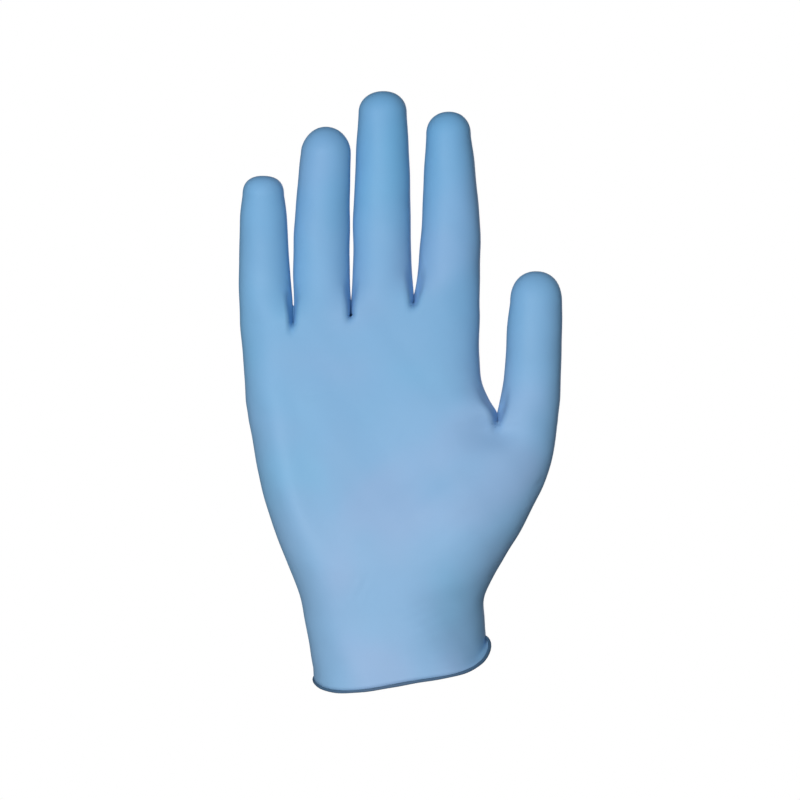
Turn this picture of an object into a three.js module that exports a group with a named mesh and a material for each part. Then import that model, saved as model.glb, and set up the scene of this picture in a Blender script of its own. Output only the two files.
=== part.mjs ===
// A nitrile examination glove, filled out as a hand fills it: one dipped film in the shape of a palm,
// four fingers and a thumb, open at the cuff, where the film is rolled up into a bead.
// Millimetres. X runs across the palm from the little finger to the thumb, Y from the palm side (front)
// to the back of the hand, and Z up the fingers. The origin is the middle of the wrist opening.
import * as THREE from "three";

// Film
const WALL = 1;
const BEAD_DIAMETER = 2;

// Cuff and wrist. The rim's plane climbs to the thumb's side and to the back of the hand.
const CUFF_WIDTH = 70;
const CUFF_DEPTH = 42;
const WRIST_WIDTH = 72.4;
const WRIST_DEPTH = 41;
const RIM_CLIMB_TO_THUMB = THREE.MathUtils.degToRad(11.2);
const RIM_CLIMB_TO_BACK = THREE.MathUtils.degToRad(12);
const RIM_LIFT_LEFT = 3; // of the little finger's side above that plane
const RIM_LIFT_RIGHT = 2.4; // of the thumb's side
const RIM_TWIST = 0.28; // climb to the back that the thumb's side has beyond the plane's

// Palm
const FORK_HEIGHT = 98.5; // where the thumb leaves the palm
const FORK_SPREAD = 6.8; // from the index finger's outer side to the thumb's inner side
const HEEL_DEPTH = 40;
const PALM_DEPTH = 31;
const KNUCKLE_DEPTH = 23.5;
const PALM_FLAT = 5.6; // 2 for faces as round as an ellipse's, more for flatter ones

// Fingers: width between the webs, depth from front to back and length from root to tip.
const LITTLE_WIDTH = 21.6;
const LITTLE_DEPTH = 17.5;
const LITTLE_LENGTH = 58.6;
const RING_WIDTH = 23.2;
const RING_DEPTH = 19.5;
const RING_LENGTH = 76.6;
const MIDDLE_WIDTH = 25;
const MIDDLE_DEPTH = 20.5;
const MIDDLE_LENGTH = 87;
const INDEX_WIDTH = 26.6;
const INDEX_DEPTH = 20.5;
const INDEX_LENGTH = 76.6;
const THUMB_WIDTH = 24.6;
const THUMB_DEPTH = 21;
const THUMB_LENGTH = 60;

// Webs: height of each one's crease above the fork, and depth of the creases from the middle plane.
const RING_WEB_HEIGHT = 39.1;
const MIDDLE_WEB_HEIGHT = 42.3;
const INDEX_WEB_HEIGHT = 47.1;
const WEB_DEPTH = 5.5;
const FORK_DEPTH = 6;

// A table's rows, from the names of its columns and a list of values for each row.
function table(columns, ...rows) {
  return rows.map((row) => Object.fromEntries(columns.map((column, i) => [column, row[i]])));
}

// dome: height of the rounded tip; square: 2 for a dome with an ellipse's outline, more for a squarer one;
// lean: how far the tip has curled to the front.
const FINGERS = table(
  ["name", "width", "depth", "length", "dome", "square", "lean"],
  ["little", LITTLE_WIDTH, LITTLE_DEPTH, LITTLE_LENGTH, 7.6, 2.5, 9],
  ["ring", RING_WIDTH, RING_DEPTH, RING_LENGTH, 10.6, 2, 9],
  ["middle", MIDDLE_WIDTH, MIDDLE_DEPTH, MIDDLE_LENGTH, 9, 2.15, 6],
  ["index", INDEX_WIDTH, INDEX_DEPTH, INDEX_LENGTH, 9.8, 2.25, 4],
  ["thumb", THUMB_WIDTH, THUMB_DEPTH, THUMB_LENGTH, 12.4, 2.2, 6],
);

// Webs from the one between the little and the ring finger to the fork's. rise: of the web's middle above
// its crease; valley: how far the crease runs out down the palm; wide: how far it reaches to each side;
// slant: how much it goes to the left on its way down.
const WEBS = table(
  ["height", "rise", "deep", "valley", "wide", "slant"],
  [RING_WEB_HEIGHT, 7.2, WEB_DEPTH, 5.5, 4, 0.3],
  [MIDDLE_WEB_HEIGHT, 4, WEB_DEPTH, 5, 4, 0.3],
  [INDEX_WEB_HEIGHT, 2.6, WEB_DEPTH, 4.5, 4, 0.1],
  [0, 3.4, FORK_DEPTH, 6.5, 5, 0.2],
);
const CREASE_ROUND = 1.2; // 1 for a crease as sharp as a V, 2 for a round one

const thumb = FINGERS[4];
const knuckleWidth = FINGERS.slice(0, 4).reduce((sum, finger) => sum + finger.width, 0);
const handWidth = knuckleWidth + FORK_SPREAD + thumb.width;
const knuckleHeight = (WEBS[0].height + WEBS[1].height + WEBS[2].height) / 3;

// Sections of the cuff and the palm, from the wrist opening (up 0) to the fork (up 1). left and right:
// shares of width, from the origin; front and back: shares of depth; flat: 2 for faces as round as an
// ellipse's, more for flatter ones; swing: how far back the thumb's side stands.
const PALM = table(
  ["up", "width", "left", "right", "depth", "front", "back", "flat", "swing"],
  [0, CUFF_WIDTH, 0.496, 0.507, CUFF_DEPTH, 0.49, 0.49, 2.8, 0],
  [0.04, CUFF_WIDTH, 0.505, 0.505, CUFF_DEPTH, 0.485, 0.49, 2.6, 4],
  [0.1, CUFF_WIDTH, 0.517, 0.496, CUFF_DEPTH, 0.48, 0.49, 2.3, 7],
  [0.2, WRIST_WIDTH, 0.526, 0.468, WRIST_DEPTH, 0.48, 0.48, 2.2, 6],
  [0.28, WRIST_WIDTH, 0.549, 0.466, WRIST_DEPTH, 0.485, 0.48, 2.3, 4],
  [0.36, handWidth, 0.331, 0.29, WRIST_DEPTH, 0.495, 0.47, 2.6, 2],
  [0.45, handWidth, 0.359, 0.329, HEEL_DEPTH, 0.505, 0.46, 3, 1],
  [0.6, handWidth, 0.403, 0.395, HEEL_DEPTH, 0.46, 0.43, 3.8, 0],
  [0.8, handWidth, 0.444, 0.466, PALM_DEPTH, 0.505, 0.51, 4.6, 0],
  [1, handWidth, 0.472, 0.494, PALM_DEPTH, 0.475, 0.48, PALM_FLAT, 0],
);

// Sections of the palm from the fork (up 0) to the webs (up 1). left: share of the knuckles' width;
// spread: share of FORK_SPREAD by which the thumb's side still stands out from the index finger's side.
const KNUCKLES = table(
  ["up", "left", "spread", "depth", "front", "back"],
  [0, 0.627, 1, PALM_DEPTH, 0.475, 0.48],
  [0.09, 0.632, 0.88, PALM_DEPTH, 0.47, 0.475],
  [0.2, 0.64, 0.5, PALM_DEPTH, 0.46, 0.465],
  [0.38, 0.645, 0.12, PALM_DEPTH, 0.435, 0.445],
  [0.58, 0.653, 0, PALM_DEPTH, 0.41, 0.425],
  [0.8, 0.66, -0.05, KNUCKLE_DEPTH, 0.51, 0.53],
  [1, 0.666, 0, KNUCKLE_DEPTH, 0.49, 0.49],
);
const KNUCKLES_LEFT = 0.668; // shares of the knuckles' width on each side of the origin
const KNUCKLES_RIGHT = 0.332;

// Outline of each finger, from its root (up 0) to its dome (up 1), as shares of its width from its axis.
const OUTLINES = [
  table(
    ["up", "left", "right"],
    [0, 0.49, 0.5],
    [0.18, 0.5, 0.49],
    [0.38, 0.5, 0.45],
    [0.62, 0.485, 0.425],
    [0.82, 0.463, 0.405],
    [1, 0.413, 0.355],
  ),
  table(
    ["up", "left", "right"],
    [0, 0.5, 0.5],
    [0.2, 0.496, 0.484],
    [0.48, 0.492, 0.483],
    [0.62, 0.464, 0.483],
    [0.86, 0.397, 0.498],
    [1, 0.345, 0.505],
  ),
  table(
    ["up", "left", "right"],
    [0, 0.5, 0.5],
    [0.1, 0.486, 0.48],
    [0.3, 0.468, 0.46],
    [0.5, 0.466, 0.458],
    [0.67, 0.438, 0.444],
    [0.85, 0.408, 0.428],
    [1, 0.368, 0.398],
  ),
  table(
    ["up", "left", "right"],
    [0, 0.5, 0.5],
    [0.09, 0.442, 0.5],
    [0.25, 0.418, 0.5],
    [0.45, 0.388, 0.5],
    [0.68, 0.357, 0.456],
    [0.85, 0.334, 0.42],
    [1, 0.308, 0.36],
  ),
  table(
    ["up", "left", "right"],
    [0, 0.5, 0.49],
    [0.09, 0.446, 0.51],
    [0.18, 0.424, 0.526],
    [0.3, 0.407, 0.532],
    [0.5, 0.37, 0.544],
    [0.75, 0.348, 0.556],
    [1, 0.288, 0.556],
  ),
];

// Depth of every finger, from root to dome. front and back: shares of its depth; lean: share of its lean.
const PROFILE = table(
  ["up", "front", "back", "lean"],
  [0, 0.54, 0.52, 0],
  [0.2, 0.53, 0.5, 0.03],
  [0.4, 0.49, 0.48, 0.13],
  [0.6, 0.49, 0.46, 0.34],
  [0.8, 0.465, 0.435, 0.66],
  [1, 0.42, 0.4, 1],
);
const FINGER_FLAT = 2.15;

// Pads and hollows of the palm's front. edge: 1 where across is measured from the section's left edge, 0
// where it is from the origin; across, wide and high: shares of the hand's width; up: share of FORK_HEIGHT;
// rise: share of PALM_DEPTH.
const PADS = table(
  ["name", "edge", "across", "up", "wide", "high", "rise"],
  ["thumb ball", 0, 0.2, 0.66, 0.17, 0.2, 0.09],
  ["little finger's side", 1, 0.078, 0.8, 0.062, 0.42, 0.07],
  ["palm hollow", 0, -0.07, 0.92, 0.2, 0.22, -0.07],
  ["fork hollow", 0, 0.285, 0.96, 0.085, 0.06, -0.09],
);

// Mesh fineness
const FINGER_STEPS = 5; // across the front or the back of a finger
const SIDE_STEPS = 4; // round the side of a finger or of the palm
const PALM_RINGS = 14;
const KNUCKLE_RINGS = [0.05, 0.12, 0.22, 0.36, 0.55, 0.78, 1];
const FINGER_RINGS = [0.035, 0.09, 0.17, 0.27, 0.39, 0.52, 0.65, 0.78, 0.9, 1];
const DOME_RINGS = 4;
const BEAD_STEPS = 8;
const FINGER_SIDE = THREE.MathUtils.degToRad(35); // half of the arc that a finger's side covers
const PALM_SIDE = THREE.MathUtils.degToRad(27);
const BRANCH_BLEND = 15; // height in which a branch takes on its own section
const MITRE_LIMIT = 2.6; // most that the film thickens in a crease, in walls

const { lerp, smoothstep, clamp } = THREE.MathUtils;

// The value of column(row) at a height between the rows of a table, on a smooth curve.
function along(table, column, up) {
  let i = 1;
  while (i < table.length - 1 && table[i].up < up) i += 1;
  const slope = (k) => {
    const before = table[Math.max(k - 1, 0)];
    const after = table[Math.min(k + 1, table.length - 1)];
    return (column(after) - column(before)) / (after.up - before.up);
  };
  const [low, high] = [table[i - 1], table[i]];
  const span = high.up - low.up;
  const t = clamp((up - low.up) / span, 0, 1);
  const [t2, t3] = [t * t, t * t * t];
  return (
    (2 * t3 - 3 * t2 + 1) * column(low) +
    (t3 - 2 * t2 + t) * span * slope(i - 1) +
    (3 * t2 - 2 * t3) * column(high) +
    (t3 - t2) * span * slope(i)
  );
}

// Places on a flattened circle with radius 1: by the angle from +X, or by how far across on one face.
const signedPower = (value, power) => Math.sign(value) * Math.abs(value) ** power;
const atAngle = (angle) => (flat) => [signedPower(Math.cos(angle), 2 / flat), Math.sin(angle)];
const faceReach = (flat) => Math.cos(PALM_SIDE) ** (2 / flat);
const onFace = (share, face) => (flat) => {
  const across = lerp(-1, 1, share) * faceReach(flat);
  return [across, face * Math.sqrt(1 - Math.min(Math.abs(across), 1) ** flat)];
};

// Sections at a height: left and right edges, front and back depths, middle plane, flatness and swing.
function palmSection(z) {
  const up = z / FORK_HEIGHT;
  return {
    left: -along(PALM, (row) => row.left * row.width, up),
    right: along(PALM, (row) => row.right * row.width, up),
    front: along(PALM, (row) => row.front * row.depth, up),
    back: along(PALM, (row) => row.back * row.depth, up),
    middle: 0,
    flat: along(PALM, (row) => row.flat, up),
    swing: along(PALM, (row) => row.swing, up),
  };
}

function knuckleSection(z) {
  const up = (z - FORK_HEIGHT) / knuckleHeight;
  return {
    left: -along(KNUCKLES, (row) => row.left, up) * knuckleWidth,
    right: KNUCKLES_RIGHT * knuckleWidth + along(KNUCKLES, (row) => row.spread, up) * FORK_SPREAD,
    front: along(KNUCKLES, (row) => row.front * row.depth, up),
    back: along(KNUCKLES, (row) => row.back * row.depth, up),
    middle: 0,
    flat: PALM_FLAT,
    swing: 0,
  };
}

const webX = [-KNUCKLES_LEFT * knuckleWidth];
FINGERS.slice(0, 4).forEach((finger) => webX.push(webX.at(-1) + finger.width));
const forkX = KNUCKLES_RIGHT * knuckleWidth + FORK_SPREAD;
const webPlaces = WEBS.map((web, i) => ({
  ...web,
  x: i < 3 ? webX[i + 1] : forkX,
  z: FORK_HEIGHT + web.height,
}));

function fingerRoot(i) {
  if (i === 4) return { x: forkX + thumb.width / 2, z: FORK_HEIGHT };
  const left = webPlaces[Math.max(i - 1, 0)].z;
  const right = webPlaces[Math.min(i, 2)].z;
  return { x: (webX[i] + webX[i + 1]) / 2, z: (left + right) / 2 };
}

function fingerSection(i, z) {
  const finger = FINGERS[i];
  const root = fingerRoot(i);
  const straight = finger.length - finger.dome;
  const up = (z - root.z) / straight;
  const left = root.x - along(OUTLINES[i], (row) => row.left, up) * finger.width;
  const right = root.x + along(OUTLINES[i], (row) => row.right, up) * finger.width;
  const dome = clamp((z - root.z - straight) / finger.dome, 0, 1);
  const narrowing = (1 - dome ** finger.square) ** (1 / finger.square);
  return {
    left: lerp((left + right) / 2, left, narrowing),
    right: lerp((left + right) / 2, right, narrowing),
    front: along(PROFILE, (row) => row.front, up) * finger.depth * narrowing,
    back: along(PROFILE, (row) => row.back, up) * finger.depth * narrowing,
    middle: -along(PROFILE, (row) => row.lean, up) * finger.lean,
    flat: FINGER_FLAT,
    swing: 0,
  };
}

// The place on a section of a column, which is one of the functions above of the section's flatness.
function placeOn(section, column) {
  const [across, out] = column(section.flat);
  const x = (section.left + section.right) / 2 + (across * (section.right - section.left)) / 2;
  const y = section.middle + out * (out < 0 ? section.front : section.back);
  return new THREE.Vector2(x, y + section.swing * Math.max(x / section.right, 0) ** 2);
}

// The palm's faces are raised by its pads and pressed in towards the webs' creases.
function shapeFace(place, z, left) {
  const side = Math.sign(place.y);
  let depth = Math.abs(place.y);
  if (side < 0) {
    PADS.forEach((pad) => {
      const across = (place.x - pad.edge * left - pad.across * handWidth) / (pad.wide * handWidth);
      const up = (z - pad.up * FORK_HEIGHT) / (pad.high * handWidth);
      depth += pad.rise * PALM_DEPTH * Math.exp(-across * across - up * up);
    });
  }
  webPlaces.forEach((web) => {
    const aside = place.x - web.x + web.slant * Math.max(web.z - z, 0);
    const near = clamp(1 - Math.abs(aside / web.wide) ** CREASE_ROUND, 0, 1);
    const close = clamp(1 - ((web.z - z) / web.valley) ** 2, 0, 1);
    depth -= Math.max(depth - web.deep, 0) * (near * close) ** 2;
  });
  place.y = side * depth;
  return place;
}

const points = [];
const faces = [];
const addPoint = (x, y, z) => points.push(new THREE.Vector3(x, y, z)) - 1;

function addBand(low, high, turned = false) {
  low.forEach((corner, j) => {
    const next = (j + 1) % low.length;
    const quad = [corner, low[next], high[next], high[j]];
    if (turned) quad.reverse();
    faces.push([quad[0], quad[1], quad[2]], [quad[0], quad[2], quad[3]]);
  });
}

// Rings run along the front from left to right, round the right side, along the back and round the left.
const spaced = (from, to, steps) => Array.from({ length: steps + 1 }, (_, i) => lerp(from, to, i / steps));
const sideAngles = (middle, half) => spaced(middle - half, middle + half, SIDE_STEPS).slice(1, -1);
const palmColumns = (shares) => [
  ...shares.map((share) => onFace(share, -1)),
  ...sideAngles(0, PALM_SIDE).map(atAngle),
  ...shares.toReversed().map((share) => onFace(share, 1)),
  ...sideAngles(Math.PI, PALM_SIDE).map(atAngle),
];
const fingerColumns = [
  ...spaced(FINGER_SIDE - Math.PI, -FINGER_SIDE, FINGER_STEPS),
  ...sideAngles(0, FINGER_SIDE),
  ...spaced(FINGER_SIDE, Math.PI - FINGER_SIDE, FINGER_STEPS),
  ...sideAngles(Math.PI, FINGER_SIDE),
].map(atAngle);

// The part of a ring between two of its face columns, closed by a chain on each side.
function partOfRing(ring, from, to, rightChain, leftChain) {
  const steps = ring.length / 2 - SIDE_STEPS;
  const opposite = 2 * steps + SIDE_STEPS;
  return [
    ...ring.slice(from, to + 1),
    ...(rightChain ?? ring.slice(steps + 1, steps + SIDE_STEPS)),
    ...ring.slice(opposite - to, opposite - from + 1),
    ...(leftChain?.toReversed() ?? ring.slice(opposite + 1)),
  ];
}

// A web's saddle, from the ring's front column to the back one.
function saddle(ring, column, rise) {
  const front = points[ring[column]];
  const back = points[ring[ring.length - SIDE_STEPS - column]];
  return spaced(-1, 1, SIDE_STEPS)
    .slice(1, -1)
    .map((share) =>
      addPoint(
        lerp(front.x, back.x, (share + 1) / 2),
        lerp(front.y, back.y, (share + 1) / 2),
        lerp(front.z, back.z, (share + 1) / 2) + rise * (1 - share * share),
      ),
    );
}

// Rings from a root: each is the branch's own section, and what sets the root apart from it dies away.
function grow(root, rows, height, place) {
  const apart = root.map((id, j) => {
    const start = points[id];
    return new THREE.Vector2(start.x, start.y).sub(place(start.z, j));
  });
  return rows.reduce((below, row) => {
    const ring = root.map((id, j) => {
      const z = height(points[id], row, j);
      const left = 1 - smoothstep(z - points[id].z, 0, BRANCH_BLEND);
      const own = place(z, j).addScaledVector(apart[j], left);
      return addPoint(own.x, own.y, z);
    });
    addBand(below, ring);
    return ring;
  }, root);
}

// Lower palm: its columns go over from an even spread at the rim to the fingers' spacing at the fork.
const knuckleTop = knuckleSection(FORK_HEIGHT + knuckleHeight);
const knuckleReach = (faceReach(knuckleTop.flat) * (knuckleTop.right - knuckleTop.left)) / 2;
const knuckleMiddle = (knuckleTop.left + knuckleTop.right) / 2;
const shareAcross = (x) => clamp((x - knuckleMiddle + knuckleReach) / (2 * knuckleReach), 0, 1);
const webShares = [0, shareAcross(webX[1]), shareAcross(webX[2]), shareAcross(webX[3]), 1];
const upperShares = [0, 1, 2, 3]
  .flatMap((i) => spaced(webShares[i], webShares[i + 1], FINGER_STEPS).slice(0, -1))
  .concat(1);

const fork = palmSection(FORK_HEIGHT);
const forkReach = (faceReach(fork.flat) * (fork.right - fork.left)) / 2;
const forkShare = (forkX - (fork.left + fork.right) / 2 + forkReach) / (2 * forkReach);
const palmSteps = 4 * FINGER_STEPS;
const lowerSteps = 5 * FINGER_STEPS;
const forkShares = upperShares
  .map((share) => share * forkShare)
  .concat(spaced(forkShare, 1, FINGER_STEPS).slice(1));
const evenShares = spaced(PALM_SIDE - Math.PI, -PALM_SIDE, lowerSteps).map(
  (angle) => (1 + Math.cos(angle) / Math.cos(PALM_SIDE)) / 2,
);
const columnsAt = (up) => palmColumns(evenShares.map((share, j) => lerp(share, forkShares[j], up)));

function rimHeight(place) {
  const plane = place.x * Math.tan(RIM_CLIMB_TO_THUMB) + place.y * Math.tan(RIM_CLIMB_TO_BACK);
  const left = Math.max((-2 * place.x) / CUFF_WIDTH, 0);
  const right = Math.max((2 * place.x) / CUFF_WIDTH, 0);
  return plane + RIM_LIFT_LEFT * left ** 4 + RIM_LIFT_RIGHT * right ** 3 + RIM_TWIST * right ** 2 * place.y;
}

const rimPlaces = columnsAt(0).map((column) => placeOn(palmSection(0), column));
const rim = rimPlaces.map((place) => addPoint(place.x, place.y, rimHeight(place)));
let lower = rim;
for (let i = 1; i <= PALM_RINGS; i += 1) {
  const up = i / PALM_RINGS;
  const ring = columnsAt(up).map((column, j) => {
    const z = lerp(rimHeight(rimPlaces[j]), FORK_HEIGHT, up);
    const section = palmSection(z);
    const place = shapeFace(placeOn(section, column), z, section.left);
    return addPoint(place.x, place.y, z);
  });
  addBand(lower, ring);
  lower = ring;
}

// Thumb and upper palm part at the fork's saddle.
const forkChain = saddle(lower, palmSteps, WEBS[3].rise);
const thumbRoot = partOfRing(lower, palmSteps, lowerSteps, null, forkChain);
const palmRoot = partOfRing(lower, 0, palmSteps, forkChain, null);

const upperColumns = palmColumns(upperShares);
const creaseHeights = upperShares.map((share, j) => {
  const i = j / FINGER_STEPS;
  const below = webPlaces[clamp(Math.floor(i) - 1, 0, 2)].z;
  const above = webPlaces[clamp(Math.ceil(i) - 1, 0, 2)].z;
  return lerp(below, above, i - Math.floor(i));
});
const topHeights = [
  ...creaseHeights,
  ...Array(SIDE_STEPS - 1).fill(creaseHeights.at(-1)),
  ...creaseHeights.toReversed(),
  ...Array(SIDE_STEPS - 1).fill(creaseHeights[0]),
];
const knuckles = grow(
  palmRoot,
  KNUCKLE_RINGS,
  (start, row, j) => lerp(start.z, topHeights[j], row),
  (z, j) => {
    const section = knuckleSection(z);
    return shapeFace(placeOn(section, upperColumns[j]), z, section.left);
  },
);

// Fingers part at the webs.
const webChains = [1, 2, 3].map((i) => saddle(knuckles, i * FINGER_STEPS, WEBS[i - 1].rise));
const roots = [0, 1, 2, 3].map((i) =>
  partOfRing(knuckles, i * FINGER_STEPS, (i + 1) * FINGER_STEPS, webChains[i], webChains[i - 1]),
);
[...roots, thumbRoot].forEach((root, i) => {
  const finger = FINGERS[i];
  const domeFoot = fingerRoot(i).z + finger.length - finger.dome;
  const place = (z, j) => placeOn(fingerSection(i, z), fingerColumns[j]);
  const straight = grow(root, FINGER_RINGS, (start, row) => lerp(start.z, domeFoot, row), place);
  const domeRows = spaced(0, Math.PI / 2, DOME_RINGS + 1).slice(1, -1).map(Math.sin);
  const last = domeRows.reduce((below, row) => {
    const z = domeFoot + row * finger.dome;
    const ring = fingerColumns.map((_, j) => {
      const own = place(z, j);
      return addPoint(own.x, own.y, z);
    });
    addBand(below, ring);
    return ring;
  }, straight);
  const top = domeFoot + finger.dome;
  const peak = place(top, 0);
  const tip = addPoint(peak.x, peak.y, top);
  last.forEach((corner, j) => faces.push([corner, last[(j + 1) % last.length], tip]));
});

// The film's inner face: every point moved in along its normal, further in a crease.
const outerCount = points.length;
const corners = points.map(() => []);
faces.forEach((face) => {
  const [a, b, c] = face.map((id) => points[id]);
  const normal = b.clone().sub(a).cross(c.clone().sub(a)).normalize();
  face.forEach((id, k) => {
    const before = points[face[(k + 2) % 3]].clone().sub(points[id]);
    const after = points[face[(k + 1) % 3]].clone().sub(points[id]);
    corners[id].push({ normal, angle: before.angleTo(after) });
  });
});
corners.forEach((around, id) => {
  const total = around.reduce((sum, corner) => sum + corner.angle, 0);
  const normal = new THREE.Vector3();
  around.forEach((corner) => normal.addScaledVector(corner.normal, corner.angle));
  normal.normalize();
  const facing = around.reduce((sum, corner) => sum + corner.angle * corner.normal.dot(normal), 0) / total;
  const inward = WALL * Math.min(1 / facing, MITRE_LIMIT);
  const inner = points[id].clone().addScaledVector(normal, -inward);
  addPoint(inner.x, inner.y, inner.z);
});
faces.push(...faces.map(([a, b, c]) => [a + outerCount, c + outerCount, b + outerCount]));

// Bead: round the rim from the film's outer face to its inner one.
const beadRadius = BEAD_DIAMETER / 2;
const beadStart = Math.asin(WALL / 2 / beadRadius);
const firstRing = rim.map((_, j) => points[rim.length + j]);
const beadRings = spaced(beadStart, 2 * Math.PI - beadStart, BEAD_STEPS)
  .slice(1, -1)
  .map((angle) =>
    rim.map((id, j) => {
      const outer = points[id];
      const inner = points[id + outerCount];
      const out = outer.clone().sub(inner).normalize();
      const down = outer.clone().sub(firstRing[j]);
      down.addScaledVector(out, -down.dot(out)).normalize();
      const place = outer.clone().add(inner).divideScalar(2);
      place.addScaledVector(down, beadRadius * (Math.cos(beadStart) - Math.cos(angle)));
      place.addScaledVector(out, beadRadius * Math.sin(angle));
      return addPoint(place.x, place.y, place.z);
    }),
  );
const innerRim = rim.map((id) => id + outerCount);
[...beadRings, innerRim].reduce((above, ring) => {
  addBand(ring, above);
  return ring;
}, rim);

const geometry = new THREE.BufferGeometry();
geometry.setAttribute(
  "position",
  new THREE.Float32BufferAttribute(
    points.flatMap((point) => point.toArray()),
    3,
  ),
);
geometry.setIndex(faces.flat());
geometry.computeVertexNormals();

const nitrile = new THREE.MeshStandardMaterial({ name: "nitrile", color: 0x86b4dc, roughness: 0.45 });
const glove = new THREE.Mesh(geometry, nitrile);
glove.name = "glove";

const model = new THREE.Group();
model.name = "nitrile_exam_glove";
model.add(glove);
export default model;
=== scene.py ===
"""A nitrile exam glove, filled out as on a hand: one thin dipped film with a rolled bead round the cuff.

Metres. +X runs across the palm from the little finger to the thumb, +Y from the palm side (front) to the
back of the hand, +Z up the fingers, and the origin is the middle of the wrist opening.
"""

import math

import bpy
import numpy as np
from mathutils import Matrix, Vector


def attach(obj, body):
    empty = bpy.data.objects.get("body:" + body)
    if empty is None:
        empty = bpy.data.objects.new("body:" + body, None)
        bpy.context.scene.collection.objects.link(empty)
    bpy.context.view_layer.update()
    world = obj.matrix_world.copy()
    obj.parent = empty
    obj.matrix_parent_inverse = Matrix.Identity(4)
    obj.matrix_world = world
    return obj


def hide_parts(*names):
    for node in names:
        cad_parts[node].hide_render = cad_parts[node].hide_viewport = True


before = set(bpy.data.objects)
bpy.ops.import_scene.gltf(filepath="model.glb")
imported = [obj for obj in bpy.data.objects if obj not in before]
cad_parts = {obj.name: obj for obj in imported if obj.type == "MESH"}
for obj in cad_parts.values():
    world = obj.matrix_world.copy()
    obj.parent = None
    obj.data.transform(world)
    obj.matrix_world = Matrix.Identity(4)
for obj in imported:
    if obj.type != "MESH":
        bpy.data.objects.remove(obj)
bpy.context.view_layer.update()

bl_info = {
    "name": "Nitrile Exam Glove",
    "version": (1, 0, 0),
    "blender": (4, 5, 0),
    "location": "3D View > Sidebar > Exam Glove",
    "description": "Builds a filled-out nitrile exam glove and its studio stage",
    "category": "Object",
}

# Sizes that the solid model shares with this one.
CUFF_WIDTH = 0.070
CUFF_DEPTH = 0.042
WRIST_WIDTH = 0.0724
WRIST_DEPTH = 0.041
RIM_CLIMB_TO_THUMB = math.radians(11.2)
RIM_CLIMB_TO_BACK = math.radians(12)
RIM_LIFT_LEFT = 0.003  # how far the rim's corners are turned up
RIM_LIFT_RIGHT = 0.0024
RIM_TWIST = 0.28  # and how much more the right one is for each metre to the back
FORK_HEIGHT = 0.0985
FORK_SPREAD = 0.0068  # how far the fork stands out from the knuckles' right side
HEEL_DEPTH = 0.040
PALM_DEPTH = 0.031
KNUCKLE_DEPTH = 0.0235
PALM_FLAT = 5.6
FINGER_FLAT = 2.15
KNUCKLES_LEFT = 0.668  # shares of the knuckles' width on each side of the origin
KNUCKLES_RIGHT = 0.332
CREASE_ROUND = 1.2  # 1 for a crease with a sharp bottom and 2 for a round one


def table(columns, *rows):
    """Rows of numbers under named columns, as one array for each column."""
    return dict(zip(columns.split(), np.array(rows, float).T))


# One row for each of the little, ring, middle and index finger and the thumb. dome: height of the rounded
# end. square: 2 for a round dome and more for a squarer one. lean: how far forward the dome stands.
FINGERS = table(
    "width depth length dome square lean",
    (0.0216, 0.0175, 0.0586, 0.0076, 2.5, 0.009),
    (0.0232, 0.0195, 0.0766, 0.0106, 2.0, 0.009),
    (0.0250, 0.0205, 0.0870, 0.0090, 2.15, 0.006),
    (0.0266, 0.0205, 0.0766, 0.0098, 2.25, 0.004),
    (0.0246, 0.0210, 0.0600, 0.0124, 2.2, 0.006),
)
# Webs from the little finger's to the thumb's, which is the fork. height: of the web above the fork.
# rise: of its middle above its ends. deep: from the middle plane to the crease's bottom. valley and wide:
# how far the crease runs down and to each side. slant: how far to the left it runs for each metre down.
WEBS = table(
    "height rise deep valley wide slant",
    (0.0391, 0.0072, 0.0015, 0.0060, 0.0020, 0.1),
    (0.0423, 0.0040, 0.0015, 0.0045, 0.0020, 0.1),
    (0.0471, 0.0026, 0.0015, 0.0040, 0.0022, 0.1),
    (0.0000, 0.0034, 0.0015, 0.0060, 0.0026, 0.1),
)
KNUCKLE_WIDTH = FINGERS["width"][:4].sum()
HAND_WIDTH = KNUCKLE_WIDTH + FORK_SPREAD + FINGERS["width"][4]
KNUCKLE_HEIGHT = WEBS["height"][:3].mean()

# Sections from the wrist opening to the fork: shares of the widths and depths named in each row. flat: 2 for
# an ellipse's face and more for a flatter one. swing: how far back the thumb's side stands.
PALM = table(
    "up width left right depth front back flat swing",
    (0.00, CUFF_WIDTH, 0.496, 0.507, CUFF_DEPTH, 0.490, 0.49, 2.8, 0.000),
    (0.04, CUFF_WIDTH, 0.505, 0.505, CUFF_DEPTH, 0.485, 0.49, 2.6, 0.004),
    (0.10, CUFF_WIDTH, 0.517, 0.496, CUFF_DEPTH, 0.480, 0.49, 2.3, 0.007),
    (0.20, WRIST_WIDTH, 0.526, 0.468, WRIST_DEPTH, 0.480, 0.48, 2.2, 0.006),
    (0.28, WRIST_WIDTH, 0.549, 0.466, WRIST_DEPTH, 0.485, 0.48, 2.3, 0.004),
    (0.36, HAND_WIDTH, 0.331, 0.290, WRIST_DEPTH, 0.495, 0.47, 2.6, 0.002),
    (0.45, HAND_WIDTH, 0.359, 0.329, HEEL_DEPTH, 0.505, 0.46, 3.0, 0.001),
    (0.60, HAND_WIDTH, 0.403, 0.395, HEEL_DEPTH, 0.460, 0.43, 3.8, 0.000),
    (0.80, HAND_WIDTH, 0.444, 0.466, PALM_DEPTH, 0.505, 0.51, 4.6, 0.000),
    (1.00, HAND_WIDTH, 0.472, 0.494, PALM_DEPTH, 0.475, 0.48, PALM_FLAT, 0.000),
)
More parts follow.
